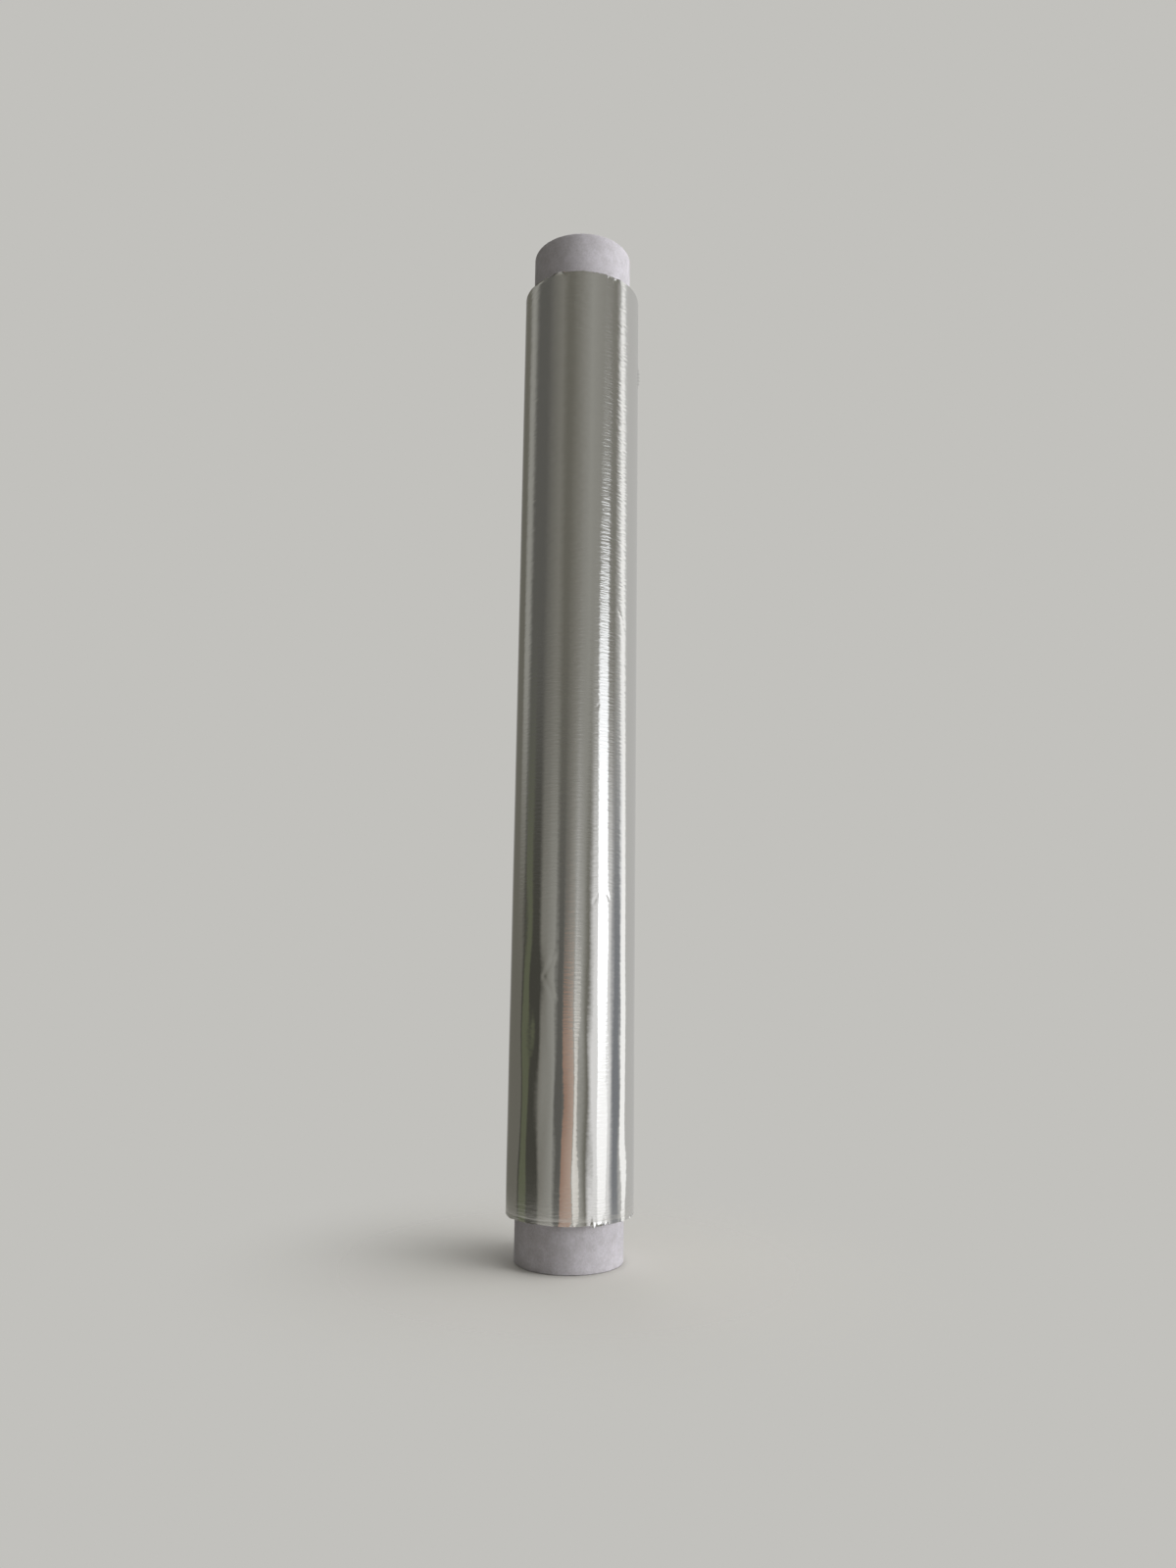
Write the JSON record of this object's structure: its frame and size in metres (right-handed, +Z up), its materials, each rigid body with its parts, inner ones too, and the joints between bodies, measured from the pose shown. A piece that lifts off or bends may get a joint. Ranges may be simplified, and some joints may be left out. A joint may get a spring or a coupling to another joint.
{
  "type": "aluminium foil roll",
  "caption": "Household roll of bright aluminium foil wound on a grey board tube that stands out at both ends, with a saw-toothed loose end.",
  "frame": {"origin": "centre of the core's lower end, on the surface that the roll stands on", "axes": "+Z up along the roll's axis, +X towards the loose end of the foil, -Y towards the viewer of the picture"},
  "size_m": [0.0388, 0.0386, 0.33],
  "materials": {
    "core_board": "matt wound greyboard",
    "foil": "bright rolled foil"
  },
  "bodies": {
    "root": {"core": "core_board", "foil_roll": "foil"}
  },
  "joints": []
}
